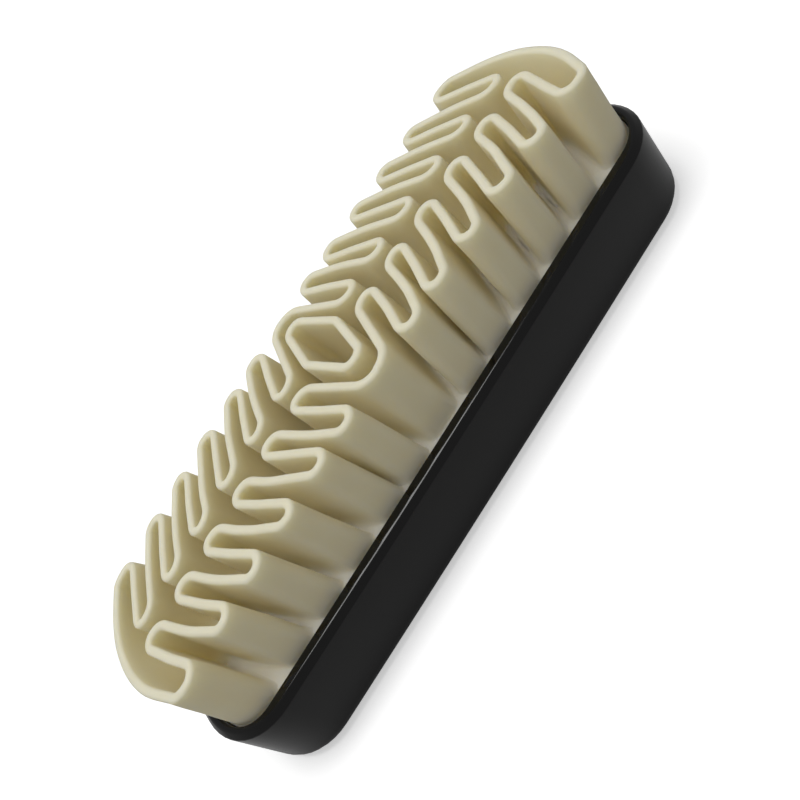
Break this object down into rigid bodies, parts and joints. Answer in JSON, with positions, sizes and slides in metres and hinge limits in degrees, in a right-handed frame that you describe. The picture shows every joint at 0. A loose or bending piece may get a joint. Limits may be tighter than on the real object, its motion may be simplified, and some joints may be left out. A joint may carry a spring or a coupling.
{
  "type": "suede brush",
  "caption": "Crepe rubber suede brush: one tall folded rubber wall and a six-sided ring on a slab, set in a black moulded handle.",
  "frame": {"origin": "middle of the handle's flat back, which lies down", "axes": "+X along the brush, +Y across it, +Z from the back up to the rubber's tips"},
  "size_m": [0.1272, 0.0428, 0.0338],
  "materials": {
    "handle_plastic": "black injection-moulded polystyrene, glossy",
    "adhesive": "cured contact adhesive film",
    "crepe_rubber": "cream moulded crepe rubber, satin"
  },
  "bodies": {
    "root": {"handle_shell": "handle_plastic", "adhesive_layer": "adhesive", "crepe_rubber": "crepe_rubber"}
  },
  "joints": []
}
